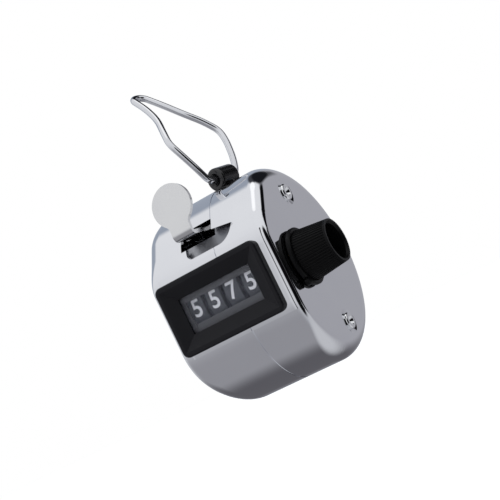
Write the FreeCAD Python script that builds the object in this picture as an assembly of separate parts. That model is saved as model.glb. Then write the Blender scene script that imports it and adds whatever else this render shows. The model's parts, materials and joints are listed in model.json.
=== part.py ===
import FreeCAD, Part
import math
import os

# Hand tally counter, in millimetres.
# +X runs to the right along the number drum and ends at the reset knob.
# +Y runs to the back, so the number window faces -Y.  +Z runs up to the finger loop.
# x = 0 is the joint between the two shells, and y = z = 0 is the axis of the round casing.

os.makedirs("parts", exist_ok=True)
V = FreeCAD.Vector

# ---------------------------------------------------------------- driving sizes
CASE_R = 22.5            # radius of the round casing
LEFT_DEPTH = 18.0        # joint to the left disc
RIGHT_DEPTH = 12.6       # joint to the right disc
LEFT_RIM = (6.4, 3.7, 1.5)   # rounding round the left disc: at the back, brow and front
RIGHT_RIM = (4.5, 2.6, 1.4)  # rounding round the right disc: at the back, brow and front
WALL = 0.9               # sheet thickness of both shells
FACE_Y = 17.0            # flat front, measured from the casing's axis
BROW_R = 11.2            # bend from the flat front up to the sloping brow
TOP_R = 14.5             # bend from the brow to the round top
BROW_SLOPE = 48.5        # slope of the brow, degrees
CHIN_R = 15.3            # rounding where the flat front meets the round bottom
GROOVE_WIDTH = 0.26      # visible groove along the joint of the shells
GROOVE_DEPTH = 0.22
LIP_THICK = 0.5          # locating lip of the right shell inside the left one
LIP_REACH = 1.8
LIP_GAP = 0.05

SEAT_PROUD = 0.2         # raised seat round the window
SEAT_X = (-15.8, 11.9)
SEAT_Z = (-8.7, 9.4)
SEAT_EDGE_R = 1.2

DRUM_X = -3.5            # middle of the bezel and of the printed digits
AXIS_Y = -6.8            # number drum and reset knob
AXIS_Z = 0.55
WHEEL_COUNT = 4
WHEEL_R = 8.1
WHEEL_PITCH = 4.7
WHEEL_GAP = 0.2          # gap from a wheel to the next one's ratchet ring
RATCHET_WIDTH = 0.85
RIM_WIDTH = WHEEL_PITCH - RATCHET_WIDTH - WHEEL_GAP
RIM_THICK = 1.1
RATCHET_R = 7.2
TOOTH_DEPTH = 1.1
TRANSFER_DEPTH = 2.0
TEETH = 10
SHAFT_R = 1.5
RUN_GAP = 0.06           # radial clearance of every running fit

BEZEL_SIZE = (26.0, 16.0)
BEZEL_Z = 0.07
BEZEL_PROUD = 1.2
BEZEL_CORNER_R = 1.5
OPENING_SIZE = (18.3, 7.9)
SLOPE_WIDTH = 2.9        # width of the sloping ring inside the bezel
PLUG_MARGIN = 1.6        # bezel flange beyond its plug
PLUG_DEPTH = 1.6
LENS_THICK = 0.8
LENS_MARGIN = 1.0
MASK_THICK = 0.4         # mask behind the lens, which hides the neighbouring digits
MASK_MARGIN = 0.25       # mask edge inside the bezel's plug
MASK_X = (-12.1, 5.1)
MASK_Z = (-2.2, 2.8)
SEAT_FIT = 0.05          # gap between pieces that are dropped into each other

SHEET = 0.8              # steel sheet of the frame, yoke and drive pawl
TAB_SHEET = 0.9          # thumb tab
LEVER_X = -3.95
LEVER_WIDTH = 4.8
PIVOT = (1.2, 15.1)      # y, z of the upper rivet, which the lever turns on
LOWER = (1.2, -15.6)     # y, z of the lower rivet
TAB_Z = 15.0
TAB_FRONT = -18.2
TAB_BEND_R = 0.9
PAD_R = 4.75
PAD_RISE = 6.9           # bend line to the middle of the pad
PAD_LEAN = 9.5           # degrees, top towards the back
PAWL_PIN = (4.5, -2.0)
PAWL_PIN_R = 0.9
PAWL_TIP_ANGLE = -65.0   # where the drive fingers meet the ratchet rings
DETENT_ANGLE = -84.0     # where the detent fingers meet them
TOOTH_GAP = 0.2
FINGER_HALF = 0.3        # half width of the drive and detent fingers
SCREW_OFFSET = 2.15      # detent screws to the right of a detent finger

SPRING_TURNS = 5
SPRING_PITCH = 0.75
SPRING_WIRE_R = 0.25
SPRING_LEGS = (8.6, 4.6)
SPRING_TILT = 13.1       # degrees that the spring's legs are tilted
SPRING_REST_Z = 11.05    # frame strip that the lower spring leg rests on

SLOT_X = (-8.0, 0.0)     # slot for the thumb tab, in the left shell
SLOT_Z = (12.6, 16.4)
LOBE_X = (-6.8, 5.3)     # lower lobe of the slot, across both shells
LOBE_Z = (10.3, 14.2)
LOBE_FOOT = (-5.2, 1.2)  # straight lower edge of the lobe
LOBE_DROP = 0.8          # fall of the lobe's upper edge in the right shell
LOBE_CORNER = 1.3        # height of the lobe's rounded left corner
LOBE_WAIST = (1.1, 1.2)  # a point of its right side, inwards and up from the lowest corner
SHUTTER_SHEET = 0.5
SHUTTER_LAP = 0.5        # shutter beyond the lobe, each side

POST_R = 1.9             # spacer posts between the discs
RIVET_R = 1.2
RIVET_HEAD_R = 1.9
DIMPLE_R = 2.9
DIMPLE_DEPTH = 0.35
PAD_SEAT_R = 3.0         # flat pads inside the discs, which the posts stand on

KNOB_GAP = 0.3           # knob to the right disc
KNOB_SKIRT_R = 6.5
KNOB_SKIRT_WIDTH = 1.1
KNOB_BASE_R = 5.7
KNOB_TIP_R = 4.85
KNOB_TIP_X = 21.6
KNOB_BAND = 0.25         # smooth rim at the tip
KNOB_BORE_R = 3.95
KNOB_BORE_DEPTH = 5.0
KNOB_RIBS = 52
RIB_DEPTH = 0.34

BUSH_Y = 3.0             # swivel bush on top of the casing
BUSH_RISE = 2.3          # the loop's hinge line above the top of the casing
BUSH_Z = CASE_R + BUSH_RISE
BUSH_R = 2.6
BUSH_HALF = 2.8
BUSH_TURN = -17.6        # degrees that the bush stands turned about Z
NECK_R = 2.2
STEM_R = 1.5
DISH_R = 6.8             # dish in the casing round the bush
DISH_FLOOR_R = 4.6
DISH_SINK = 1.4          # floor of the dish below the top of the casing
DISH_FLOOR_Z = CASE_R - DISH_SINK
BOSS_R = 5.7
BOSS_THICK = 1.0
WIRE_R = 0.75
LOOP_BEND = 0.0193       # sideways bend of the loop: offset = bend x height squared

DRUM_LEFT = DRUM_X - 1.5 * WHEEL_PITCH - RIM_WIDTH / 2 - RATCHET_WIDTH
DRUM_RIGHT = DRUM_X + 1.5 * WHEEL_PITCH + RIM_WIDTH / 2
END_GAP = 0.25
FRAME_LEFT = DRUM_LEFT - END_GAP
FRAME_RIGHT = DRUM_RIGHT + END_GAP
YOKE_GAP = 0.2
INNER_LEFT = -LEFT_DEPTH + WALL
INNER_RIGHT = RIGHT_DEPTH - WALL


# ---------------------------------------------------------------- small helpers
def box(x0, x1, y0, y1, z0, z1):
    return Part.makeBox(x1 - x0, y1 - y0, z1 - z0, V(x0, y0, z0))


def cyl_x(x0, x1, radius, y, z):
    return Part.makeCylinder(radius, x1 - x0, V(x0, y, z), V(1, 0, 0))


def cone_x(x0, x1, r0, r1, y, z):
    return Part.makeCone(r0, r1, x1 - x0, V(x0, y, z), V(1, 0, 0))


def cyl_z(z0, z1, radius, x, y):
    return Part.makeCylinder(radius, z1 - z0, V(x, y, z0), V(0, 0, 1))


def ring_x(x0, x1, outer, inner, y, z):
    return cyl_x(x0, x1, outer, y, z).cut(cyl_x(x0, x1, inner, y, z))


def polygon_x(x0, x1, points):
    """Prism along X over a closed outline of (y, z) points."""
    corners = [V(x0, y, z) for y, z in points]
    wire = Part.makePolygon(corners + corners[:1])
    return Part.Face(wire).extrude(V(x1 - x0, 0, 0))


def rounded_block(x0, x1, y0, y1, z0, z1, radius):
    """Block whose four edges along Y are rounded."""
    block = box(x0, x1, y0, y1, z0, z1)
    edges = [e for e in block.Edges if abs(e.tangentAt(e.FirstParameter).y) > 0.9]
    return block.makeFillet(radius, edges)


def strap(x0, x1, first, second):
    """Flat strap between two round ends, each given as (y, z, radius)."""
    y1, z1, r1 = first
    y2, z2, r2 = second
    distance = math.hypot(y2 - y1, z2 - z1)
    heading = math.atan2(z2 - z1, y2 - y1)
    spread = math.acos((r1 - r2) / distance)
    corners = []
    for y, z, r, side in ((y1, z1, r1, 1), (y2, z2, r2, 1), (y2, z2, r2, -1), (y1, z1, r1, -1)):
        angle = heading + side * spread
        corners.append((y + r * math.cos(angle), z + r * math.sin(angle)))
    shape = polygon_x(x0, x1, corners)
    return shape.fuse([cyl_x(x0, x1, r1, y1, z1), cyl_x(x0, x1, r2, y2, z2)]).removeSplitter()


def drum_point(radius, angle):
    """(y, z) of a point round the drum's axis; angle in degrees from +Y towards +Z."""
    a = math.radians(angle)
    return AXIS_Y + radius * math.cos(a), AXIS_Z + radius * math.sin(a)


def finger_x(index):
    """Middle of a wheel's ratchet ring, where its drive and detent fingers stand."""
    return DRUM_X + (index - 1.5) * WHEEL_PITCH - RIM_WIDTH / 2 - RATCHET_WIDTH / 2


def rounded_path(points):
    """Straight runs joined by the largest even arcs, as one wire."""
    edges = []
    start = points[0]
    for before, corner, after in zip(points, points[1:], points[2:]):
        back = before - corner
        ahead = after - corner
        reach = 0.46 * min(back.Length, ahead.Length)
        back.normalize()
        ahead.normalize()
        first = corner + back * reach
        last = corner + ahead * reach
        half_turn = (math.pi - back.getAngle(ahead)) / 2
        radius = reach / math.tan(half_turn)
        inward = back + ahead
        inward.normalize()
        sag = radius / math.cos(half_turn) - radius
        edges.append(Part.LineSegment(start, first).toShape())
        edges.append(Part.Arc(first, corner + inward * sag, last).toShape())
        start = last
    edges.append(Part.LineSegment(start, points[-1]).toShape())
    return edges


def bent_wire(points, radius):
    """Round wire bent along a path: a cylinder for each run, a torus sector for each bend."""
    pieces = []
    for edge in rounded_path(points):
        start = edge.valueAt(edge.FirstParameter)
        heading = edge.tangentAt(edge.FirstParameter)
        if isinstance(edge.Curve, Part.Line):
            pieces.append(Part.makeCylinder(radius, edge.Length, start, heading))
            continue
        disc = Part.Face(Part.Wire(Part.makeCircle(radius, start, heading)))
        turn = math.degrees(edge.Length / edge.Curve.Radius)
        pieces.append(disc.revolve(edge.Curve.Center, edge.Curve.Axis, turn))
    return pieces[0].fuse(pieces[1:]).removeSplitter()


def round_wire(points, start_heading, end_heading, radius):
    """Solid round wire on one smooth curve through points."""
    curve = Part.BSplineCurve()
    curve.interpolate(Points=points, InitialTangent=start_heading, FinalTangent=end_heading)
    ring = Part.Wire(Part.makeCircle(radius, points[0], start_heading))
    return Part.Wire(curve.toShape()).makePipeShell([ring], True, False)


def save(name, shape):
    solids = shape.Solids
    if not solids or not shape.isValid():
        raise ValueError(name + " is not a valid solid")
    result = solids[0] if len(solids) == 1 else Part.makeCompound(solids)
    result.exportStep("parts/" + name + ".step")
    print(name, len(solids), "solid(s)", round(shape.Volume, 2), "mm3")


# ---------------------------------------------------------------- casing
def side_profile(x0, x1, inset):
    """Casing's side outline, moved inwards by inset and drawn out along X."""
    slope = math.radians(BROW_SLOPE)
    ny, nz = -math.sin(slope), math.cos(slope)
    top_z = CASE_R - TOP_R
    brow_y = BROW_R - FACE_Y
    brow_z = top_z + (ny * -brow_y + TOP_R - BROW_R) / nz
    radius = CASE_R - inset
    top_r = TOP_R - inset
    brow_r = BROW_R - inset
    chin_r = CHIN_R - inset
    chin_y = CHIN_R - FACE_Y
    chin_z = -math.sqrt((CASE_R - CHIN_R) ** 2 - chin_y ** 2)
    chin_turn = math.atan2(chin_z, chin_y)
    half = slope / 2
    lift = (math.pi / 2 + slope) / 2
    sweep = (chin_turn - math.pi) / 2
    crown = V(x0, 0, radius)
    brow_top = V(x0, top_r * ny, top_z + top_r * nz)
    brow_foot = V(x0, brow_y + brow_r * ny, brow_z + brow_r * nz)
    front_top = V(x0, inset - FACE_Y, brow_z)
    front_low = V(x0, inset - FACE_Y, chin_z)
    chin_foot = V(x0, radius * math.cos(chin_turn), radius * math.sin(chin_turn))
    over_top = V(x0, -top_r * math.sin(half), top_z + top_r * math.cos(half))
    over_brow = V(x0, brow_y - brow_r * math.sin(lift), brow_z + brow_r * math.cos(lift))
    over_chin = V(x0, chin_y + chin_r * math.cos(sweep), chin_z + chin_r * math.sin(sweep))
    edges = [
        Part.Arc(crown, over_top, brow_top).toShape(),
        Part.LineSegment(brow_top, brow_foot).toShape(),
        Part.Arc(brow_foot, over_brow, front_top).toShape(),
        Part.LineSegment(front_top, front_low).toShape(),
        Part.Arc(front_low, over_chin, chin_foot).toShape(),
        Part.Arc(chin_foot, V(x0, radius, 0), crown).toShape(),
    ]
    return Part.Face(Part.Wire(edges)).extrude(V(x1 - x0, 0, 0))


def round_end(block, x, rim, inset):
    """Rounds the rim at one end: rim gives the radius at the back, brow and front."""
    brow_z = CASE_R - TOP_R
    document = FreeCAD.newDocument("rounding")
    base = document.addObject("Part::Feature", "base")
    base.Shape = block
    rounding = document.addObject("Part::Fillet", "rounding")
    rounding.Base = base
    chosen = []
    for number, edge in enumerate(block.Edges, 1):
        ends = [edge.valueAt(edge.FirstParameter), edge.valueAt(edge.LastParameter)]
        if any(abs(p.x - x) > 1e-4 for p in ends):
            continue
        radii = []
        for p in ends:
            if p.y < inset - FACE_Y + 0.01:
                radii.append(rim[2] - inset)
            elif p.y < -0.5 and p.z > brow_z:
                radii.append(rim[1] - inset)
            else:
                radii.append(rim[0] - inset)
        chosen.append((number, radii[0], radii[1]))
    rounding.Edges = chosen
    document.recompute()
    result = rounding.Shape.copy()
    FreeCAD.closeDocument(document.Name)
    return result


def rounded_drum(inset):
    """Closed casing; the hollow is rounded evenly, as far as its back is."""
    left = -(LEFT_DEPTH - inset)
    right = RIGHT_DEPTH - inset
    left_rim = (LEFT_RIM[0],) * 3 if inset > 0.5 else LEFT_RIM
    right_rim = (RIGHT_RIM[0],) * 3 if inset > 0.5 else RIGHT_RIM
    block = side_profile(left, right, inset)
    block = round_end(block, left, left_rim, inset)
    return round_end(block, right, right_rim, inset)


def window_seat():
    """Raised flat round the window, with softly rounded side edges."""
    block = side_profile(SEAT_X[0], SEAT_X[1], -SEAT_PROUD)
    block = block.common(box(SEAT_X[0], SEAT_X[1], -2 * CASE_R, -FACE_Y + 4.0, *SEAT_Z))
    sides = []
    for edge in block.Edges:
        ends = [v.Point for v in edge.Vertexes]
        for side in SEAT_X:
            at_side = all(abs(p.x - side) < 1e-4 for p in ends)
            if at_side and all(p.y < -FACE_Y + 1.5 for p in ends):
                sides.append(edge)
    return block.makeFillet(SEAT_EDGE_R, sides)


def slot_cutter():
    """Slot for the thumb tab and its rounded lower lobe, in both shells."""
    y0 = -2 * CASE_R
    y1 = -9.0
    left, right = LOBE_X
    foot, top = LOBE_Z
    corners = [V(left, y0, top), V(0, y0, top), V(right, y0, top - LOBE_DROP)]
    low_right = V(LOBE_FOOT[1], y0, foot)
    low_left = V(LOBE_FOOT[0], y0, foot)
    low_side = V(left, y0, foot + LOBE_CORNER)
    waist = V(right - LOBE_WAIST[0], y0, foot + LOBE_WAIST[1])
    corner = V(left + 0.3 * LOBE_CORNER, y0, foot + 0.3 * LOBE_CORNER)
    edges = [
        Part.LineSegment(corners[0], corners[1]).toShape(),
        Part.LineSegment(corners[1], corners[2]).toShape(),
        Part.Arc(corners[2], waist, low_right).toShape(),
        Part.LineSegment(low_right, low_left).toShape(),
        Part.Arc(low_left, corner, low_side).toShape(),
        Part.LineSegment(low_side, corners[0]).toShape(),
    ]
    lobe = Part.Face(Part.Wire(edges)).extrude(V(0, y1 - y0, 0))
    return box(SLOT_X[0], SLOT_X[1], y0, y1, *SLOT_Z).fuse(lobe)


def casing_cutters():
    """Everything that is cut out of the closed casing."""
    width = BEZEL_SIZE[0] - 2 * PLUG_MARGIN + 2 * SEAT_FIT
    height = BEZEL_SIZE[1] - 2 * PLUG_MARGIN + 2 * SEAT_FIT
    window = rounded_block(DRUM_X - width / 2, DRUM_X + width / 2, -2 * CASE_R, -12.0,
                           BEZEL_Z - height / 2, BEZEL_Z + height / 2, BEZEL_CORNER_R)
    dish = Part.makeCone(DISH_FLOOR_R, DISH_R, 2.0, V(0, BUSH_Y, DISH_FLOOR_Z), V(0, 0, 1))
    stem = cyl_z(0, CASE_R + 5, STEM_R + RUN_GAP, 0, BUSH_Y)
    bearing = cyl_x(0, RIGHT_DEPTH + 5, SHAFT_R + 1.0, AXIS_Y, AXIS_Z)
    cutters = [window, dish, stem, bearing, slot_cutter()]
    for y, z in (PIVOT, LOWER):
        cutters.append(cyl_x(-LEFT_DEPTH - 5, RIGHT_DEPTH + 5, RIVET_R + SEAT_FIT, y, z))
        cutters.append(cone_x(RIGHT_DEPTH - DIMPLE_DEPTH, RIGHT_DEPTH,
                              RIVET_HEAD_R + SEAT_FIT, DIMPLE_R, y, z))
        cutters.append(cone_x(-LEFT_DEPTH, -LEFT_DEPTH + DIMPLE_DEPTH,
                              DIMPLE_R, RIVET_HEAD_R + SEAT_FIT, y, z))
    return cutters


def build_shells():
    groove_x = GROOVE_WIDTH / 2
    skin = side_profile(-groove_x, groove_x, -SEAT_PROUD - 1)
    groove = skin.cut(side_profile(-groove_x, groove_x, GROOVE_DEPTH))
    boss = cyl_z(DISH_FLOOR_Z - BOSS_THICK, CASE_R - WALL, BOSS_R, 0, BUSH_Y)
    boss = boss.common(rounded_drum(0.3))
    pads = []
    for y, z in (PIVOT, LOWER):
        pads.append(cyl_x(-LEFT_DEPTH, INNER_LEFT + DIMPLE_DEPTH, PAD_SEAT_R, y, z))
        pads.append(cyl_x(INNER_RIGHT - DIMPLE_DEPTH, RIGHT_DEPTH, PAD_SEAT_R, y, z))
    hollow = rounded_drum(WALL).cut([boss] + pads)
    casing = rounded_drum(0).fuse(window_seat()).cut(hollow)
    lip_outer = side_profile(-LIP_REACH, LIP_REACH, WALL + LIP_GAP)
    lip = lip_outer.cut(side_profile(-LIP_REACH, LIP_REACH, WALL + LIP_GAP + LIP_THICK))
    lip = lip.cut(cyl_z(0, CASE_R, BOSS_R + LIP_GAP, 0, BUSH_Y))
    lip_root = side_profile(0, LIP_REACH, WALL - 0.2)
    lip_root = lip_root.cut(side_profile(0, LIP_REACH, WALL + LIP_GAP + LIP_THICK))
    lip_root = lip_root.cut(cyl_z(0, CASE_R, BOSS_R + LIP_GAP, 0, BUSH_Y))
    slot_room = box(-LIP_REACH - 1, LIP_REACH + 1, -CASE_R, -5.0, LOBE_Z[0] - 1.2, SLOT_Z[1] + 1.2)
    lip = lip.cut(slot_room)
    lip_root = lip_root.cut(slot_room)
    big = 4 * CASE_R
    left = casing.common(box(-big, 0, -big, big, -big, big))
    right = casing.common(box(0, big, -big, big, -big, big))
    right = right.fuse([lip, lip_root])
    cutters = casing_cutters()
    left = left.cut(cutters + [groove])
    right = right.cut(cutters + [groove])
    save("left_shell", left.removeSplitter())
    save("right_shell", right.removeSplitter())


# ---------------------------------------------------------------- window
def build_window():
    front = -(FACE_Y + SEAT_PROUD)
    face = front - BEZEL_PROUD
    back = front + PLUG_DEPTH
    half_x, half_z = BEZEL_SIZE[0] / 2, BEZEL_SIZE[1] / 2
    open_x, open_z = OPENING_SIZE[0] / 2, OPENING_SIZE[1] / 2
    plug_x, plug_z = half_x - PLUG_MARGIN, half_z - PLUG_MARGIN
    flange = rounded_block(DRUM_X - half_x, DRUM_X + half_x, face, front,
                           BEZEL_Z - half_z, BEZEL_Z + half_z, BEZEL_CORNER_R)
    outer_rim = [e for e in flange.Edges if all(abs(v.Point.y - face) < 1e-4 for v in e.Vertexes)]
    flange = flange.makeFillet(0.45, outer_rim)
    plug = rounded_block(DRUM_X - plug_x, DRUM_X + plug_x, front, back,
                         BEZEL_Z - plug_z, BEZEL_Z + plug_z, BEZEL_CORNER_R)

    def frame_wire(grow, y):
        corners = []
        for sx, sz in ((-1, -1), (1, -1), (1, 1), (-1, 1)):
            corners.append(V(DRUM_X + sx * (open_x + grow), y, BEZEL_Z + sz * (open_z + grow)))
        return Part.makePolygon(corners + corners[:1])

    rim_y = front + 0.3
    well = Part.makeLoft([frame_wire(SLOPE_WIDTH, face), frame_wire(0, rim_y)], True, True)
    throat = Part.Face(frame_wire(0, rim_y)).extrude(V(0, PLUG_DEPTH, 0))
    lens_x, lens_z = open_x + LENS_MARGIN, open_z + LENS_MARGIN
    pocket = rounded_block(DRUM_X - lens_x, DRUM_X + lens_x, back - LENS_THICK, back + 1,
                           BEZEL_Z - lens_z, BEZEL_Z + lens_z, 0.6)
    save("window_bezel", flange.fuse(plug).cut([well, throat, pocket]).removeSplitter())
    lens = rounded_block(DRUM_X - lens_x + SEAT_FIT, DRUM_X + lens_x - SEAT_FIT,
                         back - LENS_THICK, back,
                         BEZEL_Z - lens_z + SEAT_FIT, BEZEL_Z + lens_z - SEAT_FIT, 0.55)
    save("window_lens", lens)
    mask = rounded_block(DRUM_X - plug_x + MASK_MARGIN, DRUM_X + plug_x - MASK_MARGIN,
                         back, back + MASK_THICK,
                         BEZEL_Z - plug_z + MASK_MARGIN, BEZEL_Z + plug_z - MASK_MARGIN, 1.2)
    gate = box(MASK_X[0], MASK_X[1], back - 1, back + 2, MASK_Z[0], MASK_Z[1])
    save("window_mask", mask.cut(gate))


# ---------------------------------------------------------------- number drum
def ratchet_ring(x0, x1, deep_tooth):
    """Ring of saw teeth; one gap can be cut deeper to carry to the next wheel."""
    points = []
    for tooth in range(TEETH):
        depth = TRANSFER_DEPTH if tooth == deep_tooth else TOOTH_DEPTH
        points.append(drum_point(RATCHET_R, tooth * 36.0))
        points.append(drum_point(RATCHET_R - 0.1, tooth * 36.0 + 6.0))
        points.append(drum_point(RATCHET_R - depth, tooth * 36.0 + 34.0))
    return polygon_x(x0, x1, points)


def build_wheel(name, index, deep_tooth):
    rim_x0 = DRUM_X + (index - 1.5) * WHEEL_PITCH - RIM_WIDTH / 2
    rim_x1 = rim_x0 + RIM_WIDTH
    base_x = rim_x0 - RATCHET_WIDTH
    rim = ring_x(rim_x0, rim_x1, WHEEL_R, WHEEL_R - RIM_THICK, AXIS_Y, AXIS_Z)
    chamfered = [e for e in rim.Edges if abs(e.Length - 2 * math.pi * WHEEL_R) < 1e-3]
    rim = rim.makeFillet(0.15, chamfered)
    web = cyl_x(rim_x0, rim_x0 + 0.9, WHEEL_R - RIM_THICK / 2, AXIS_Y, AXIS_Z)
    hub = cyl_x(base_x, rim_x1, SHAFT_R + 1.1, AXIS_Y, AXIS_Z)
    teeth = ratchet_ring(base_x, rim_x0 + 0.2, deep_tooth)
    bore = cyl_x(base_x - 1, rim_x1 + 1, SHAFT_R + RUN_GAP, AXIS_Y, AXIS_Z)
    catch_angle = 90.0
    catch_y, catch_z = drum_point(4.3, catch_angle)
    pocket = cyl_x(rim_x0 + 0.5, rim_x1, 0.75, catch_y, catch_z)
    wheel = rim.fuse([web, hub, teeth]).cut([bore, pocket])
    save(name, wheel.removeSplitter())
    catch = cyl_x(rim_x0 + 0.5, rim_x1 - 0.9, 0.7, catch_y, catch_z)
    arm = strap(rim_x0 + 0.95, rim_x1 - 0.9,
                (catch_y, catch_z, 0.7), (catch_y + 2.4, catch_z - 1.1, 0.45))
    save(name.replace("wheel", "zero_catch"), catch.fuse(arm).removeSplitter())


def build_drum():
    names = ("thousands_wheel", "hundreds_wheel", "tens_wheel", "units_wheel")
    for index, name in enumerate(names):
        build_wheel(name, index, None if index == 0 else 2 * index)
    knob_back = RIGHT_DEPTH + KNOB_GAP
    bore_floor = KNOB_TIP_X - KNOB_BORE_DEPTH
    shaft = cyl_x(FRAME_LEFT - SHEET - 1.3, bore_floor - 0.6, SHAFT_R, AXIS_Y, AXIS_Z)
    groove = cyl_x(FRAME_LEFT - SHEET - 0.9, FRAME_LEFT - SHEET - 0.3, SHAFT_R + 1, AXIS_Y, AXIS_Z)
    groove = groove.cut(cyl_x(FRAME_LEFT - 3, FRAME_LEFT, SHAFT_R - 0.35, AXIS_Y, AXIS_Z))
    keyway = box(DRUM_LEFT + 0.5, DRUM_RIGHT - 0.5, AXIS_Y - 0.35, AXIS_Y + 0.35,
                 AXIS_Z + SHAFT_R - 0.45, AXIS_Z + SHAFT_R + 1)
    screw_hole = cyl_x(bore_floor - 4.6, bore_floor, 0.6, AXIS_Y, AXIS_Z)
    save("drum_shaft", shaft.cut([groove, keyway, screw_hole]))
    clip_x = FRAME_LEFT - SHEET - 0.87
    clip = ring_x(clip_x, clip_x + 0.5, SHAFT_R + 1.3, SHAFT_R - 0.3, AXIS_Y, AXIS_Z)
    clip = clip.cut(box(clip_x - 1, clip_x + 2, AXIS_Y - 1.0, AXIS_Y + 1.0, AXIS_Z - 5, AXIS_Z))
    save("shaft_circlip", clip)
    washer_x = INNER_RIGHT - 2.1
    washer = ring_x(FRAME_RIGHT + SHEET, washer_x + 0.1, SHAFT_R + 1.0, SHAFT_R + RUN_GAP,
                    AXIS_Y, AXIS_Z)
    save("shaft_spacer", washer)
    sleeve = ring_x(washer_x + 0.1, knob_back - 0.2, SHAFT_R + 1.0 - SEAT_FIT, SHAFT_R + RUN_GAP,
                    AXIS_Y, AXIS_Z)
    flange = ring_x(INNER_RIGHT - 0.9, INNER_RIGHT, SHAFT_R + 2.2, SHAFT_R + RUN_GAP, AXIS_Y, AXIS_Z)
    save("shaft_bearing", sleeve.fuse(flange).removeSplitter())


# ---------------------------------------------------------------- reset knob
def build_knob():
    back = RIGHT_DEPTH + KNOB_GAP
    skirt_end = back + KNOB_SKIRT_WIDTH
    band_x = KNOB_TIP_X - KNOB_BAND
    bore_floor = KNOB_TIP_X - KNOB_BORE_DEPTH
    step = cyl_x(back, back + 0.25, KNOB_SKIRT_R - 0.4, AXIS_Y, AXIS_Z)
    skirt = cyl_x(back + 0.25, skirt_end - 0.25, KNOB_SKIRT_R, AXIS_Y, AXIS_Z)
    bevel = cone_x(skirt_end - 0.25, skirt_end, KNOB_SKIRT_R, KNOB_SKIRT_R - 0.25, AXIS_Y, AXIS_Z)
    body = cone_x(skirt_end, band_x, KNOB_BASE_R, KNOB_TIP_R, AXIS_Y, AXIS_Z)
    band = cyl_x(band_x, KNOB_TIP_X, KNOB_TIP_R - 0.05, AXIS_Y, AXIS_Z)
    nub_y, nub_z = drum_point(KNOB_SKIRT_R + 0.35, -131.0)
    nub = cyl_x(back + 0.3, skirt_end + 0.1, 0.85, nub_y, nub_z)
    knob = step.fuse([skirt, bevel, body, band, nub])
    grooves = []
    for rib in range(KNOB_RIBS):
        angle = 360.0 * rib / KNOB_RIBS
        start = drum_point(KNOB_BASE_R + 0.03, angle)
        end = drum_point(KNOB_TIP_R + 0.03, angle)
        along = V(band_x - 0.2 - skirt_end, end[0] - start[0], end[1] - start[1])
        grooves.append(Part.makeCylinder(RIB_DEPTH * 0.75, along.Length,
                                         V(skirt_end, start[0], start[1]), along))
    knob = knob.cut(Part.makeCompound(grooves))
    bore = cyl_x(bore_floor, KNOB_TIP_X + 1, KNOB_BORE_R, AXIS_Y, AXIS_Z)
    mouth = cone_x(KNOB_TIP_X - 0.5, KNOB_TIP_X + 0.01, KNOB_BORE_R, KNOB_BORE_R + 0.4, AXIS_Y, AXIS_Z)
    socket = cyl_x(back - 1, bore_floor - 0.6, SHAFT_R, AXIS_Y, AXIS_Z)
    screw_way = cyl_x(bore_floor - 1, bore_floor + 1, 0.75, AXIS_Y, AXIS_Z)
    save("reset_knob", knob.cut([bore, mouth, socket, screw_way]).removeSplitter())
    head = cyl_x(bore_floor, bore_floor + 0.9, 1.6, AXIS_Y, AXIS_Z)
    rim = [e for e in head.Edges if all(abs(v.Point.x - bore_floor - 0.9) < 1e-4 for v in e.Vertexes)]
    head = head.makeFillet(0.3, [e for e in rim if e.Length > 5])
    shank = cyl_x(bore_floor - 4.4, bore_floor, 0.6, AXIS_Y, AXIS_Z)
    for turn in (0, 90):
        cut = box(bore_floor + 0.45, bore_floor + 2, AXIS_Y - 1.1, AXIS_Y + 1.1, AXIS_Z - 0.2, AXIS_Z + 0.2)
        cut.rotate(V(0, AXIS_Y, AXIS_Z), V(1, 0, 0), turn)
        head = head.cut(cut)
    save("knob_screw", head.fuse(shank).removeSplitter())


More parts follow.
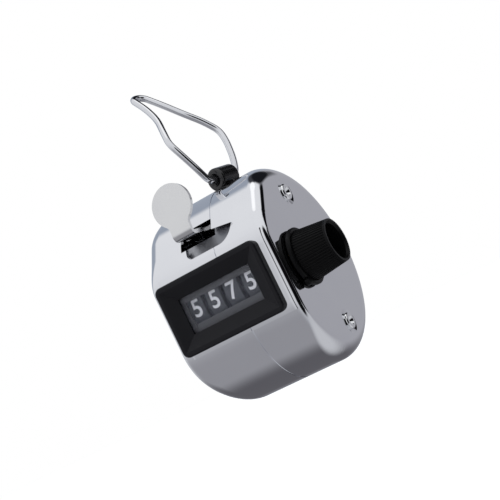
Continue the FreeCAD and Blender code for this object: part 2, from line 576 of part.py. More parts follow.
# ---------------------------------------------------------------- inner frame and detent
def build_frame():
    drum = (AXIS_Y, AXIS_Z, 4.2)
    upper = (PIVOT[0], PIVOT[1], 3.2)
    lower = (LOWER[0], LOWER[1], 3.2)
    plates = []
    for x0 in (FRAME_LEFT - SHEET, FRAME_RIGHT):
        plate = strap(x0, x0 + SHEET, drum, upper).fuse(strap(x0, x0 + SHEET, drum, lower))
        plates.append(plate)
    strip = box(FRAME_LEFT - SHEET, FRAME_RIGHT + SHEET, -4.2, 1.0, -13.3, -13.3 + SHEET)
    rest = box(FRAME_LEFT - 0.1, FRAME_RIGHT + 0.1, -1.0, 5.6, SPRING_REST_Z - SHEET, SPRING_REST_Z)
    frame = plates[0].fuse([plates[1], strip, rest])
    far = (FRAME_LEFT - 5, FRAME_RIGHT + 5)
    cutters = [cyl_x(far[0], far[1], SHAFT_R + RUN_GAP, AXIS_Y, AXIS_Z)]
    for y, z in (PIVOT, LOWER):
        cutters.append(cyl_x(far[0], far[1], POST_R + SEAT_FIT, y, z))
    screw_xs = (finger_x(0) + SCREW_OFFSET, finger_x(WHEEL_COUNT - 1) + SCREW_OFFSET)
    for x in screw_xs:
        cutters.append(cyl_z(-15, -10, 0.6, x, -2.4))
    save("drum_frame", frame.cut(cutters).removeSplitter())

    top = -13.3 + SHEET
    leaf = 0.3
    base = box(FRAME_LEFT + 0.4, FRAME_RIGHT - 0.4, -4.0, 0.6, top, top + leaf)
    fingers = []
    tip_y, tip_z = drum_point(RATCHET_R + TOOTH_GAP + 0.1, DETENT_ANGLE)
    for index in range(WHEEL_COUNT):
        x = finger_x(index)
        finger = strap(x - FINGER_HALF, x + FINGER_HALF, (0.35, top + leaf / 2, leaf / 2),
                       (tip_y + 0.3, tip_z - 0.2, leaf / 2))
        fingers.append(finger)
    spring = base.fuse(fingers)
    for x in screw_xs:
        spring = spring.cut(cyl_z(-15, -10, 0.65, x, -2.4))
    save("detent_spring", spring.removeSplitter())
    screws = []
    for x in screw_xs:
        screws.append(cyl_z(top - 1.4, top + leaf, 0.6, x, -2.4).fuse(
            cyl_z(top + leaf, top + leaf + 0.6, 1.1, x, -2.4)).removeSplitter())
    save("detent_screws", Part.makeCompound(screws))


# ---------------------------------------------------------------- thumb lever and drive pawl
def build_lever():
    leg_left = FRAME_LEFT - SHEET - YOKE_GAP
    leg_right = FRAME_RIGHT + SHEET + YOKE_GAP
    low, high = TAB_Z - SHEET / 2, TAB_Z + SHEET / 2
    pieces = []
    for x0 in (leg_left - SHEET, leg_right):
        leg = strap(x0, x0 + SHEET, (PIVOT[0], PIVOT[1], 3.0), (PAWL_PIN[0], PAWL_PIN[1], 2.2))
        arm = strap(x0, x0 + SHEET, (PIVOT[0], PIVOT[1], 3.0), (-8.3, TAB_Z, SHEET / 2))
        pieces += [leg, arm]
    pieces.append(box(leg_left - SHEET, leg_right + SHEET, -8.9, -5.6, low, high))
    left_x, right_x = LEVER_X - LEVER_WIDTH / 2, LEVER_X + LEVER_WIDTH / 2
    pieces.append(box(-9.2, LOBE_X[1] + SHUTTER_LAP, -11.3, -8.8, low, high))

    # thumb tab: a level tongue, a bend and a round pad
    half = TAB_SHEET / 2
    bend_y = TAB_FRONT + TAB_BEND_R
    bend_z = TAB_Z + TAB_BEND_R
    tongue = box(left_x, right_x, bend_y, -9.0, TAB_Z - half, TAB_Z + half)
    outer = cyl_x(left_x, right_x, TAB_BEND_R + half, bend_y, bend_z)
    bend = outer.cut(cyl_x(left_x, right_x, TAB_BEND_R - half, bend_y, bend_z))
    lean = math.radians(PAD_LEAN)
    wedge = polygon_x(left_x, right_x, [
        (bend_y, bend_z),
        (bend_y, bend_z - 4),
        (bend_y - 4, bend_z - 4),
        (bend_y - 4, bend_z + 4 * math.tan(lean)),
    ])
    bend = bend.common(wedge)
    front = bend_y - TAB_BEND_R - half
    neck = box(left_x, right_x, front, front + TAB_SHEET, bend_z, bend_z + PAD_RISE)
    pad = Part.makeCylinder(PAD_R, TAB_SHEET, V(LEVER_X, front, bend_z - TAB_BEND_R + PAD_RISE), V(0, 1, 0))
    plate = neck.fuse(pad).removeSplitter()
    corners = []
    for edge in plate.Edges:
        point = edge.valueAt((edge.FirstParameter + edge.LastParameter) / 2)
        along_y = abs(edge.tangentAt(edge.FirstParameter).y) > 0.9 and edge.Length < 2 * TAB_SHEET
        if along_y and point.z > bend_z + 0.5 and abs(abs(point.x - LEVER_X) - LEVER_WIDTH / 2) < 1e-3:
            corners.append(edge)
    plate = plate.makeFillet(1.6, corners)
    plate.rotate(V(0, bend_y, bend_z), V(1, 0, 0), -PAD_LEAN)
    lever = pieces[0].fuse(pieces[1:] + [tongue, bend, plate])
    far = (leg_left - 5, leg_right + 5)
    lever = lever.cut([cyl_x(far[0], far[1], POST_R + RUN_GAP, *PIVOT),
                       cyl_x(far[0], far[1], PAWL_PIN_R, *PAWL_PIN)])
    save("thumb_lever", lever.removeSplitter())
    save("pawl_pin", cyl_x(leg_left - SHEET, leg_right + SHEET, PAWL_PIN_R, *PAWL_PIN))

    knuckle = cyl_x(FRAME_LEFT + 0.6, FRAME_RIGHT - 0.6, PAWL_PIN_R + 0.75, *PAWL_PIN)
    tip_y, tip_z = drum_point(RATCHET_R + TOOTH_GAP + 0.35, PAWL_TIP_ANGLE)
    claws = []
    for index in range(WHEEL_COUNT):
        x = finger_x(index)
        claws.append(strap(x - FINGER_HALF, x + FINGER_HALF, (PAWL_PIN[0], PAWL_PIN[1] - 0.6, 0.9),
                           (tip_y, tip_z, 0.35)))
    pawl = knuckle.fuse(claws).cut(cyl_x(far[0], far[1], PAWL_PIN_R + RUN_GAP, *PAWL_PIN))
    save("drive_pawl", pawl.removeSplitter())


def build_shutter():
    """Bent plate under the lever, which closes the lobe from the inside."""
    top = TAB_Z - SHEET / 2
    right = LOBE_X[1] + SHUTTER_LAP

    def slope_plate(x0, x1, top_z, foot_z):
        run = 0.77
        outer = [(-11.6 - run * (14.6 - z), z) for z in (top_z, foot_z)]
        inner = [(y + SHUTTER_SHEET, z - SHUTTER_SHEET * 0.5) for y, z in reversed(outer)]
        return polygon_x(x0, x1, outer + inner)

    flange = box(0.0, right, -11.3, -9.2, top - SHUTTER_SHEET, top)
    shutter = flange.fuse([slope_plate(0.0, right, top - 0.15, LOBE_Z[0] - 0.2),
                           slope_plate(LOBE_X[0] - 1.6, 0.1, SLOT_Z[0] + 0.2, LOBE_Z[0] - 0.2)])
    save("slot_shutter", shutter.removeSplitter())


def build_return_spring():
    """Torsion spring round the upper post: one leg under the lever, one on the frame."""
    coil_r = POST_R + 0.9
    points = [V(0, -SPRING_LEGS[0] * part, -coil_r) for part in (1, 0.75, 0.5, 0.25)]
    steps = 12 * SPRING_TURNS
    for step in range(steps + 1):
        angle = 2 * math.pi * step / 12
        x = SPRING_PITCH * step / 12
        points.append(V(x, coil_r * math.sin(angle), -coil_r * math.cos(angle)))
    end_x = SPRING_PITCH * SPRING_TURNS
    points += [V(end_x, SPRING_LEGS[1] * part, -coil_r) for part in (0.25, 0.5, 0.75, 1)]
    spring = round_wire(points, V(0, 1, 0), V(0, 1, 0), SPRING_WIRE_R)
    spring.rotate(V(0, 0, 0), V(1, 0, 0), -SPRING_TILT)
    spring.translate(V(DRUM_X - 2.0, PIVOT[0], PIVOT[1]))
    save("lever_spring", spring)


# ---------------------------------------------------------------- posts and rivets
def build_posts():
    for name, (y, z) in (("upper", PIVOT), ("lower", LOWER)):
        post = ring_x(INNER_LEFT + DIMPLE_DEPTH, INNER_RIGHT - DIMPLE_DEPTH,
                      POST_R, RIVET_R + SEAT_FIT, y, z)
        save(name + "_post", post)
        right = RIGHT_DEPTH - DIMPLE_DEPTH
        left = -LEFT_DEPTH + DIMPLE_DEPTH
        stem = cyl_x(left, right, RIVET_R, y, z)
        eyelet = cyl_x(right, right + 0.85, RIVET_HEAD_R, y, z)
        rim = [e for e in eyelet.Edges if all(abs(v.Point.x - right - 0.85) < 1e-4 for v in e.Vertexes)]
        eyelet = eyelet.makeFillet(0.45, [e for e in rim if e.Length > 5])
        head = cyl_x(left - 0.7, left, RIVET_HEAD_R, y, z)
        rim = [e for e in head.Edges if all(abs(v.Point.x - left + 0.7) < 1e-4 for v in e.Vertexes)]
        head = head.makeFillet(0.5, [e for e in rim if e.Length > 5])
        well = cone_x(right + 0.05, right + 0.86, 0.45, 1.05, y, z)
        save(name + "_rivet", stem.fuse([eyelet, head]).cut(well).removeSplitter())


# ---------------------------------------------------------------- swivel and finger loop
def build_swivel():
    turn = math.radians(BUSH_TURN)
    axis = V(-math.sin(turn), math.cos(turn), 0)
    centre = V(0, BUSH_Y, BUSH_Z)
    barrel = Part.makeCylinder(BUSH_R, 2 * BUSH_HALF, centre - axis * BUSH_HALF, axis)
    rims = [e for e in barrel.Edges if abs(e.Length - 2 * math.pi * BUSH_R) < 1e-3]
    barrel = barrel.makeFillet(0.6, rims)
    neck = cyl_z(DISH_FLOOR_Z + 0.12, BUSH_Z, NECK_R, 0, BUSH_Y)
    foot = cyl_z(DISH_FLOOR_Z + 0.12, DISH_FLOOR_Z + 0.8, DISH_FLOOR_R - 0.9, 0, BUSH_Y)
    boss_foot = DISH_FLOOR_Z - BOSS_THICK
    stem = cyl_z(boss_foot - 0.95, BUSH_Z - 1.2, STEM_R, 0, BUSH_Y)
    stem = stem.fuse(cyl_z(boss_foot - 1.5, boss_foot - 0.95, STEM_R + 0.7, 0, BUSH_Y))
    holes = Part.makeCylinder(WIRE_R + RUN_GAP, 2 * BUSH_HALF + 2, centre - axis * (BUSH_HALF + 1), axis)
    funnels = []
    for side in (-1, 1):
        mouth = centre + axis * (side * (BUSH_HALF + 0.01))
        funnels.append(Part.makeCone(1.5, WIRE_R, 0.9, mouth, axis * -side))
    bush = barrel.fuse([neck, foot]).cut([stem, holes] + funnels)
    save("swivel_bush", bush.removeSplitter())
    save("swivel_stem", stem.cut(holes).removeSplitter())
    washer = cyl_z(boss_foot - 0.85, boss_foot - 0.1, STEM_R + 1.9, 0, BUSH_Y)
    save("swivel_washer", washer.cut(cyl_z(0, CASE_R, STEM_R, 0, BUSH_Y)))
    return axis, centre


# corners of half the loop in its own sheet: distance from its middle line, height above the hinge
LOOP_CORNERS = [(1.0, 0.0), (4.4, 0.0), (6.1, 3.6), (7.7, 8.2), (8.3, 11.2), (6.6, 14.6),
                (4.2, 18.2), (2.7, 22.3), (1.75, 26.45)]


def build_loop(axis, centre):
    """Bail of round wire: each end turns inwards and sits in the bush."""
    side = V(0, 0, 1).cross(axis)
    points = []
    for along, height in [(-a, s) for a, s in LOOP_CORNERS] + LOOP_CORNERS[::-1]:
        points.append(centre + axis * along + V(0, 0, height) + side * (LOOP_BEND * height ** 2))
    save("finger_loop", bent_wire(points, WIRE_R))


build_shells()
build_window()
build_drum()
build_knob()
build_frame()
build_lever()
build_shutter()
build_return_spring()
build_posts()
swivel_axis, swivel_centre = build_swivel()
build_loop(swivel_axis, swivel_centre)
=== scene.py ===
# %% [markdown]
# # A chromed hand tally counter
# The object is a clicker for counting people or parcels. A thumb presses the lever, number wheels
# turn behind a small window, and a ribbed knob at the side sets them back to zero.
# The solid model brings every piece with a real size and every joint. This lesson gives the pieces
# their finishes, prints the numbers on the wheels, and lights the whole as in a small studio.

# %% Start from the solid model
import json
import math
import bmesh
import bpy
import numpy as np
from mathutils import Matrix, Vector


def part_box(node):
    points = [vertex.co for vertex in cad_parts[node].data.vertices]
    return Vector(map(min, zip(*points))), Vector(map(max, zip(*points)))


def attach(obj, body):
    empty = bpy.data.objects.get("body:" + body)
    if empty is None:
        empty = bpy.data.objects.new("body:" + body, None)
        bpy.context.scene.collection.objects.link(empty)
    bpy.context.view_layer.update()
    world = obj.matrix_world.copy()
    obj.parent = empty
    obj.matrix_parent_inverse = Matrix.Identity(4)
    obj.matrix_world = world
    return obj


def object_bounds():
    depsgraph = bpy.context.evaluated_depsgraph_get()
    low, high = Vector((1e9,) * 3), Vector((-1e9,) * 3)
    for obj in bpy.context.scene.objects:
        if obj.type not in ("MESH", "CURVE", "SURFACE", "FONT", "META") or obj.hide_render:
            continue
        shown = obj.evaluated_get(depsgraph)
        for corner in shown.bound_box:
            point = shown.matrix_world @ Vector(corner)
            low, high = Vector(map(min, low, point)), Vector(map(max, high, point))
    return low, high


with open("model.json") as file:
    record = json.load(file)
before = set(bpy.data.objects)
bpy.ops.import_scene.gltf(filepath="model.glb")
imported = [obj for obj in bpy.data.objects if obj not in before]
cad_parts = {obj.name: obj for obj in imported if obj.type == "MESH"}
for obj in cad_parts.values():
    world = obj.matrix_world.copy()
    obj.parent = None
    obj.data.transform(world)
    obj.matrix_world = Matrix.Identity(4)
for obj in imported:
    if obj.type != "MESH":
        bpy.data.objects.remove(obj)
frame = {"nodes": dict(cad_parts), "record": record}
cad_low, cad_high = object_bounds()
nodes = frame["nodes"]
MM = 0.001
print(len(nodes), "pieces; size in mm:", [round(v / MM, 1) for v in cad_high - cad_low])

# %% [markdown]
# ## Small helpers for finishes
# A finish is a small network of nodes. One function adds a node with its settings and links, so
# that each material below reads as a short recipe. Colours are written as sRGB hex, as a paint
# chart gives them, and one function turns them into the linear values that the renderer adds up.


# %% Colours, nodes and meshes
def linear(hex_colour):
    """Linear RGBA of an sRGB hex colour: the dark foot is a straight line, the rest a 2.4 power."""
    rgb = np.array([int(hex_colour[i:i + 2], 16) for i in (1, 3, 5)]) / 255.0
    low = rgb / 12.92
    high = ((rgb + 0.055) / 1.055) ** 2.4
    return tuple(np.where(rgb <= 0.04045, low, high)) + (1.0,)


def add(tree, kind, links=None, **settings):
    """Adds a node. settings go to its properties or inputs; links feed an input from a socket."""
    node = tree.nodes.new(kind)
    for name, value in settings.items():
        if hasattr(node, name):
            setattr(node, name, value)
        else:
            node.inputs[name.replace("_", " ")].default_value = value
    for name, socket in (links or {}).items():
        tree.links.new(socket, node.inputs[name])
    return node


def new_material(name):
    """An empty material with a Principled shader: returns the material, its tree and the shader."""
    material = bpy.data.materials.new(name)
    material.use_nodes = True
    tree = material.node_tree
    shader = tree.nodes["Principled BSDF"]
    return material, tree, shader


def noise(tree, size_mm, detail=3.0, stretch=(1.0, 1.0, 1.0), **settings):
    """Noise on Object coordinates whose blobs are about size_mm wide, stretched along an axis."""
    place = add(tree, "ShaderNodeTexCoord")
    mapping = add(tree, "ShaderNodeMapping", links={"Vector": place.outputs["Object"]},
                  Scale=stretch)
    return add(tree, "ShaderNodeTexNoise", links={"Vector": mapping.outputs["Vector"]},
               Scale=1.0 / (size_mm * MM), Detail=detail, **settings)


NOISE_RANGE = (0.3, 0.7)     # most of a noise's values lie between these


def spread(tree, socket, low, high):
    """Stretches the usual range of a noise pattern to low..high."""
    node = add(tree, "ShaderNodeMapRange", links={"Value": socket})
    node.inputs["From Min"].default_value = NOISE_RANGE[0]
    node.inputs["From Max"].default_value = NOISE_RANGE[1]
    node.inputs["To Min"].default_value = low
    node.inputs["To Max"].default_value = high
    return node.outputs["Result"]


def tint(tree, socket, first, second):
    """Mixes two hex colours by a pattern."""
    mix = add(tree, "ShaderNodeMix", data_type="RGBA")
    tree.links.new(socket, mix.inputs[0])
    mix.inputs[6].default_value = linear(first)
    mix.inputs[7].default_value = linear(second)
    return mix.outputs[2]


def bump(tree, shader, socket, depth_mm, strength=1.0):
    """Raises the surface by a pattern."""
    node = add(tree, "ShaderNodeBump", links={"Height": socket})
    node.inputs["Distance"].default_value = depth_mm * MM
    node.inputs["Strength"].default_value = strength
    tree.links.new(node.outputs["Normal"], shader.inputs["Normal"])


# %% [markdown]
# ## Plated and bare metals
# The case is steel sheet, drawn, polished and plated with nickel and chrome. Chrome is a near
# perfect mirror with a cool tint, so its look comes almost wholly from the studio around it; a real
# one still has faint polishing haze and finger smears that vary the roughness a little.
# The thumb lever has satin nickel: brushed before plating, so its reflections are soft.

# %% Metals
SMEAR_MM = 9.0               # width of the finger smears that tint a metal


def metal(name, light, dark, rough, grain_mm, stretch=(1, 1, 1), depth_mm=0.0):
    """Metal whose colour and roughness wander between two values with a stretched grain."""
    material, tree, shader = new_material(name)
    shader.inputs["Metallic"].default_value = 1.0
    grain = noise(tree, grain_mm, 4.0, stretch)
    smear = noise(tree, SMEAR_MM, 2.0)
    tree.links.new(tint(tree, smear.outputs["Fac"], light, dark), shader.inputs["Base Color"])
    tree.links.new(spread(tree, grain.outputs["Fac"], rough[0], rough[1]),
                   shader.inputs["Roughness"])
    if depth_mm:
        bump(tree, shader, grain.outputs["Fac"], depth_mm)
    return material


# bright chrome: 4 mm wide polishing haze, hardly visible
chrome = metal("polished_chrome_plate", "#E2E3E6", "#DCDDE1", (0.035, 0.06), 4.0)
chrome_wire = metal("chromed_spring_wire", "#DEDFE2", "#D0D1D5", (0.05, 0.10), 1.5)
# satin nickel: brush lines are finer than 0.05 mm; drawn 0.12 mm wide so that they show
satin_nickel = metal("satin_nickel_plate", "#DEDEDE", "#D6D6D7", (0.20, 0.26), 0.12,
                     (1.0, 0.08, 0.08), 0.0003)
rivet_nickel = metal("bright_nickel_rivet", "#ECEDEE", "#DFE0E2", (0.05, 0.10), 0.6)
zinc = metal("zinc_plated_sheet", "#B9BBBE", "#A3A6A9", (0.30, 0.45), 1.2, (1, 1, 1), 0.002)
spring_steel = metal("blued_spring_steel", "#8B8C90", "#74767C", (0.25, 0.35), 0.3)
dark_sheet = metal("phosphated_sheet", "#B4B6BA", "#9C9DA2", (0.35, 0.5), 0.8, (1, 1, 1), 0.002)
turned_steel = metal("turned_steel", "#ADAFB2", "#9A9CA0", (0.18, 0.30), 0.15, (1.0, 0.1, 0.1))
brass = metal("turned_brass", "#C9A661", "#B8924C", (0.2, 0.3), 0.2, (1.0, 0.1, 0.1))
print("metals:", [m.name for m in (chrome, chrome_wire, satin_nickel, rivet_nickel, zinc)])

# %% [markdown]
# ## Moulded plastics
# The window frame, the reset knob and the swivel bush are black ABS and nylon. Moulded black plastic
# is never quite black: it has a dull sheen from the mould's fine grain, which is drawn here as a
# shallow bump. The number wheels are a dark grey, so that the white numbers stand out, and a grey
# mask behind the window hides the figures above and below the row that shows.

# %% Plastics and the window
CLOUD_MM = 6.0               # width of the faint clouds in a moulded colour
WINDOW_OPACITY = 0.10        # share of light that the window's haze and sheen send back


def plastic(name, light, dark, rough, grain_mm, depth_mm, ior=1.53, sheen=0.5):
    """Moulded plastic: two close colours, a fine grain in its roughness, and a shallow bump."""
    material, tree, shader = new_material(name)
    shader.inputs["IOR"].default_value = ior
    shader.inputs["Specular IOR Level"].default_value = sheen
    grain = noise(tree, grain_mm, 5.0)
    cloud = noise(tree, CLOUD_MM, 2.0)
    tree.links.new(tint(tree, cloud.outputs["Fac"], light, dark), shader.inputs["Base Color"])
    tree.links.new(spread(tree, grain.outputs["Fac"], rough[0], rough[1]),
                   shader.inputs["Roughness"])
    bump(tree, shader, grain.outputs["Fac"], depth_mm)
    return material


bezel_black = plastic("moulded_black_abs", "#0D0D12", "#0A0A0E", (0.38, 0.50), 0.25, 0.004,
                      sheen=0.18)
knob_black = plastic("moulded_black_knob_abs", "#060607", "#040405", (0.36, 0.48), 0.3, 0.003,
                     sheen=0.12)
mask_grey = plastic("moulded_grey_abs", "#4E4F54", "#48494D", (0.5, 0.6), 0.3, 0.002, sheen=0.3)
bush_black = plastic("moulded_black_nylon", "#121213", "#0C0C0D", (0.16, 0.26), 0.4, 0.003)
wheel_grey = plastic("moulded_grey_wheel_abs", "#3E4148", "#383B42", (0.45, 0.60), 0.25, 0.003)
white_print = plastic("white_pad_printing_ink", "#DADCE2", "#CFD1D8", (0.55, 0.70), 0.2, 0.002)
white_acetal = plastic("white_acetal", "#D9D7CF", "#CECCC3", (0.35, 0.45), 0.3, 0.002, 1.48)

window_clear, tree, shader = new_material("moulded_clear_acrylic")
shader.inputs["Base Color"].default_value = linear("#62646E")
shader.inputs["IOR"].default_value = 1.49
shader.inputs["Specular IOR Level"].default_value = 0.25
# fine moulding haze, drawn 0.8 mm wide
haze = noise(tree, 0.8, 3.0)
tree.links.new(spread(tree, haze.outputs["Fac"], 0.05, 0.12), shader.inputs["Roughness"])
shader.inputs["Alpha"].default_value = WINDOW_OPACITY
print("plastics:", [m.name for m in (bezel_black, knob_black, bush_black, wheel_grey)])

# %% [markdown]
# ## Finishes on the pieces
# Each piece of the solid model keeps its shape and takes its finish by the slot that the parts list
# names. A dictionary from slot to material keeps the two lists in step.

# %% Assign the finishes
FINISH = {
    "chrome_shell": chrome,
    "chrome_wire": chrome_wire,
    "satin_nickel": satin_nickel,
    "rivet_nickel": rivet_nickel,
    "zinc_sheet": zinc,
    "spring_steel": spring_steel,
    "turned_steel": turned_steel,
    "bearing_brass": brass,
    "bezel_plastic": bezel_black,
    "knob_plastic": knob_black,
    "bush_plastic": bush_black,
    "wheel_plastic": wheel_grey,
    "pawl_plastic": white_acetal,
    "clear_window": window_clear,
    "mask_plastic": mask_grey,
    "dark_sheet": dark_sheet,
}
for part in frame["record"]["subparts"]:
    piece = nodes[part["node"]]
    for material_slot in piece.material_slots:
        material_slot.material = FINISH[part["material_slot"]]

# %% [markdown]
# ## Numbers round the wheels
# Each wheel carries the figures 0 to 9, printed in white on its rim. A figure is drawn flat as text,
# made a mesh, sliced into narrow bands so that it can bend, and then rolled on to the rim: its
# height becomes an angle and its width stays along the drum. The next higher figure stands above
# the one that shows, because a press turns the front of the wheel downwards.

# %% Roll the figures on to the rims
FIGURE_HEIGHT = 3.85 * MM
FIGURE_RISE = 2.3        # degrees that the printed figures stand above the drum's axis
FIGURE_WIDTH_SCALE = 0.92
FIGURE_STEP = 36.0           # degrees from one figure to the next
STROKE_GROWTH = 0.012        # thickens the strokes, as a share of the letter size
INK_THICKNESS = 0.03 * MM
RIM_WIDTH = 3.65 * MM
BAND_COUNT = 12


def flat_figure(digit):
    """Mesh of one printed figure, centred on the origin, FIGURE_HEIGHT tall, cut into bands."""
    text = bpy.data.curves.new("figure", "FONT")
    text.body = str(digit)
    text.align_x = "CENTER"
    text.resolution_u = 6
    text.offset = STROKE_GROWTH
    text_object = bpy.data.objects.new("figure", text)
    bpy.context.scene.collection.objects.link(text_object)
    bpy.context.view_layer.update()
    mesh = bpy.data.meshes.new_from_object(text_object)
    bpy.data.objects.remove(text_object)
    work = bmesh.new()
    work.from_mesh(mesh)
    bmesh.ops.remove_doubles(work, verts=work.verts, dist=1e-5)
    heights = [v.co.y for v in work.verts]
    low, high = min(heights), max(heights)
    for band in range(1, BAND_COUNT):
        cut = low + (high - low) * band / BAND_COUNT
        bmesh.ops.bisect_plane(work, geom=work.verts[:] + work.edges[:] + work.faces[:],
                               plane_co=(0, cut, 0), plane_no=(0, 1, 0))
    bmesh.ops.triangulate(work, faces=work.faces)
    work.to_mesh(mesh)
    work.free()
    points = np.empty(len(mesh.vertices) * 3)
    mesh.vertices.foreach_get("co", points)
    points = points.reshape(-1, 3)
    scale = FIGURE_HEIGHT / (high - low)
    middle = (points[:, 0].max() + points[:, 0].min()) / 2
    flat = np.column_stack([(points[:, 0] - middle) * scale * FIGURE_WIDTH_SCALE,
                            (points[:, 1] - (low + high) / 2) * scale])
    faces = np.array([p.vertices[:] for p in mesh.polygons])
    bpy.data.meshes.remove(mesh)
    return flat, faces


def rolled(flat, angle, centre, radius):
    """Rolls flat points on to a cylinder along X: angle from the front grows with height / radius."""
    turn = angle + flat[:, 1] / radius
    return np.column_stack([centre[0] + flat[:, 0],
                            centre[1] - radius * np.cos(turn),
                            centre[2] + radius * np.sin(turn)])


def print_wheel(wheel, body, shown):
    """All ten figures of a wheel as one thin printed layer just outside its rim."""
    low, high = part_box(wheel)
    centre = (high.x - RIM_WIDTH / 2, (low.y + high.y) / 2, (low.z + high.z) / 2)
    radius = (high.z - low.z) / 2 + INK_THICKNESS
    all_points, all_faces, count = [], [], 0
    for digit in range(10):
        flat, faces = FIGURES[digit]
        angle = math.radians(FIGURE_STEP * (digit - shown) + FIGURE_RISE)
        all_points.append(rolled(flat, angle, centre, radius))
        all_faces.append(faces + count)
        count += len(flat)
    mesh = bpy.data.meshes.new(wheel + "_numbers")
    mesh.from_pydata(np.vstack(all_points).tolist(), [], np.vstack(all_faces).tolist())
    mesh.materials.append(white_print)
    piece = bpy.data.objects.new(wheel + "_numbers", mesh)
    bpy.context.scene.collection.objects.link(piece)
    solid = piece.modifiers.new("ink", "SOLIDIFY")
    solid.thickness = INK_THICKNESS * 0.8
    solid.offset = -1.0
    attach(piece, body)
    return piece


FIGURES = [flat_figure(digit) for digit in range(10)]
for wheel, body, shown in (("thousands_wheel", "thousands", 5), ("hundreds_wheel", "hundreds", 5),
                           ("tens_wheel", "tens", 7), ("units_wheel", "units", 5)):
    printed = print_wheel(wheel, body, shown)
    print(printed.name, "shows", shown, "with", len(printed.data.polygons), "faces")

# %% [markdown]
# ## The studio
# Chrome shows the room, so the room is part of the look. The counter hangs in a white cove: a
# blue-grey wall behind that shades the round top, a grey wall behind on the right that tones the flat
# disc, grey cards below that shade the lower front, black cards that draw the dark lines along the
# rounded edges, and a small white one above for the highlight next to them. The cove is a sky of
# soft-edged cards, each named by the direction of its middle.

# %% Build the cove
COVE_LOW, COVE_HIGH = "#B4B6BC", "#F6F7F9"
COVE_FADE = (-0.9, 0.8)      # heights, on a unit sphere, where the cove's fade starts and ends
CARDS = (
    # middle of the card (x, y, z), half width and soft edge in degrees, colour, strength
    ((-0.45, 0.78, 0.45), 34.0, 13.0, "#A6AEBB", 1.0),
    ((0.45, 0.85, 0.02), 36.0, 14.0, "#B0B0B6", 1.0),
    ((0.00, 0.56, 0.83), 13.0, 9.0, "#44454A", 1.0),
    ((0.20, 0.72, 0.66), 16.0, 9.0, "#1B1C20", 1.0),
    ((0.15, 0.10, 0.98), 11.0, 7.0, "#FFFFFF", 1.3),
    ((0.72, 0.58, 0.38), 10.0, 7.0, "#0C0C0E", 1.0),
    ((0.95, 0.28, 0.06), 12.0, 6.0, "#0C0C0E", 1.0),
    ((0.85, -0.48, 0.08), 26.0, 10.0, "#0C0C0E", 1.0),
    ((-0.38, -0.42, -0.82), 30.0, 40.0, "#A0A0A5", 1.0),
    ((-0.30, 0.58, -0.75), 22.0, 32.0, "#656469", 1.0),
    ((0.55, 0.20, -0.80), 14.0, 34.0, "#D2D3D7", 1.0),
)
world = bpy.data.worlds.new("cove")
bpy.context.scene.world = world
world.use_nodes = True
sky = world.node_tree
sky.nodes.clear()
heading = add(sky, "ShaderNodeTexCoord").outputs["Generated"]
unit = add(sky, "ShaderNodeVectorMath", links={0: heading}, operation="NORMALIZE").outputs["Vector"]
height = add(sky, "ShaderNodeSeparateXYZ", links={"Vector": unit}).outputs["Z"]
fade = add(sky, "ShaderNodeMapRange", links={"Value": height}, interpolation_type="SMOOTHSTEP")
fade.inputs["From Min"].default_value = COVE_FADE[0]
fade.inputs["From Max"].default_value = COVE_FADE[1]
colour = tint(sky, fade.outputs["Result"], COVE_LOW, COVE_HIGH)
for middle, half_width, edge, shade, strength in CARDS:
    towards = Vector(middle).normalized()
    facing = add(sky, "ShaderNodeVectorMath", links={0: unit}, operation="DOT_PRODUCT")
    facing.inputs[1].default_value = towards
    mask = add(sky, "ShaderNodeMapRange", links={"Value": facing.outputs["Value"]},
               interpolation_type="SMOOTHSTEP")
    mask.inputs["From Min"].default_value = math.cos(math.radians(half_width + edge))
    mask.inputs["From Max"].default_value = math.cos(math.radians(half_width))
    mix = add(sky, "ShaderNodeMix", data_type="RGBA")
    sky.links.new(mask.outputs["Result"], mix.inputs[0])
    sky.links.new(colour, mix.inputs[6])
    mix.inputs[7].default_value = tuple(c * strength for c in linear(shade)[:3]) + (1.0,)
    colour = mix.outputs[2]
ray = add(sky, "ShaderNodeLightPath")
backdrop = add(sky, "ShaderNodeMix", data_type="RGBA")
sky.links.new(ray.outputs["Is Camera Ray"], backdrop.inputs[0])
sky.links.new(colour, backdrop.inputs[6])
backdrop.inputs[7].default_value = (1.0, 1.0, 1.0, 1.0)
glow = add(sky, "ShaderNodeBackground", links={"Color": backdrop.outputs[2]})
glow.inputs["Strength"].default_value = 1.0
add(sky, "ShaderNodeOutputWorld", links={"Surface": glow.outputs["Background"]})
print("cards in the cove:", len(CARDS))


# %% Lamps
def softbox(name, position, target, size, power):
    """Square area light at position, turned towards target, both in metres."""
    lamp = bpy.data.lights.new(name, "AREA")
    lamp.size = size
    lamp.energy = power
    lamp_object = bpy.data.objects.new(name, lamp)
    lamp_object.location = position
    lamp_object.visible_glossy = False
    lamp_object.rotation_mode = "QUATERNION"
    lamp_object.rotation_quaternion = (Vector(target) - Vector(position)).to_track_quat("-Z", "Y")
    bpy.context.scene.collection.objects.link(lamp_object)
    return lamp_object


softbox("overhead_softbox", (-0.05, -0.12, 0.45), (0, 0, 0), 0.35, 1.6)
softbox("left_fill", (-0.45, -0.35, 0.10), (0, 0, 0), 0.30, 0.7)

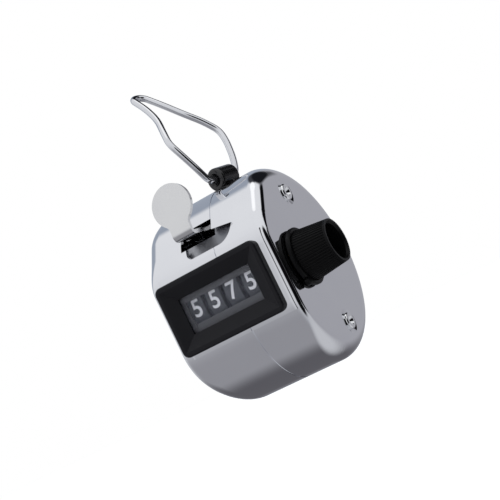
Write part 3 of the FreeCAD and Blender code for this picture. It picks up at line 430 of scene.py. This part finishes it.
# %% [markdown]
# ## Floor and camera
# The floor is a plain white sheet well below the counter, which is shown as if held in the air. The
# camera looks a little upwards from the right-hand front and is rolled, so that the counter leans.

# %% Floor and camera
FLOOR_DROP = 0.05            # metres from the counter's lowest point to the floor
FLOOR_REACH = 3.0            # metres from the middle of the floor to its sides
FLOOR_GLOW = 0.45
floor_mesh = bpy.data.meshes.new("floor")
floor_z = cad_low.z - FLOOR_DROP
corners = [(FLOOR_REACH * x, FLOOR_REACH * y, floor_z) for x, y in ((-1, -1), (1, -1), (1, 1), (-1, 1))]
floor_mesh.from_pydata(corners, [], [(0, 1, 2, 3)])
floor = bpy.data.objects.new("floor", floor_mesh)
bpy.context.scene.collection.objects.link(floor)
paper, tree, shader = new_material("white_studio_paper")
fibres = noise(tree, 3.0, 4.0)
tree.links.new(tint(tree, fibres.outputs["Fac"], "#F7F7F7", "#F3F3F3"), shader.inputs["Base Color"])
shader.inputs["Roughness"].default_value = 0.9
# the sheet is lit from below, so that it is as white as the cove behind it
shader.inputs["Emission Color"].default_value = linear("#FFFFFF")
shader.inputs["Emission Strength"].default_value = FLOOR_GLOW
floor_mesh.materials.append(paper)
floor.visible_glossy = False

CAMERA_PLACE = (0.11866, -0.25094, -0.0131)
CAMERA_RIGHT = Vector((0.79703, 0.41481, -0.43895))
CAMERA_UP = Vector((0.42629, 0.12845, 0.89542))
LENS_MM = 92.1
camera_data = bpy.data.cameras.new("camera")
camera_data.lens = LENS_MM
camera_data.sensor_width = 36.0
camera_data.clip_start = 0.01
camera_data.clip_end = 20.0
camera = bpy.data.objects.new("camera", camera_data)
back = CAMERA_RIGHT.cross(CAMERA_UP)
turn = Matrix((CAMERA_RIGHT, CAMERA_UP, back)).transposed()
camera.matrix_world = Matrix.Translation(CAMERA_PLACE) @ turn.to_4x4()
bpy.context.scene.collection.objects.link(camera)
bpy.context.scene.camera = camera
bpy.context.scene.view_settings.view_transform = "Standard"
print("camera", [round(v, 3) for v in camera.location], "lens", camera_data.lens, "mm")
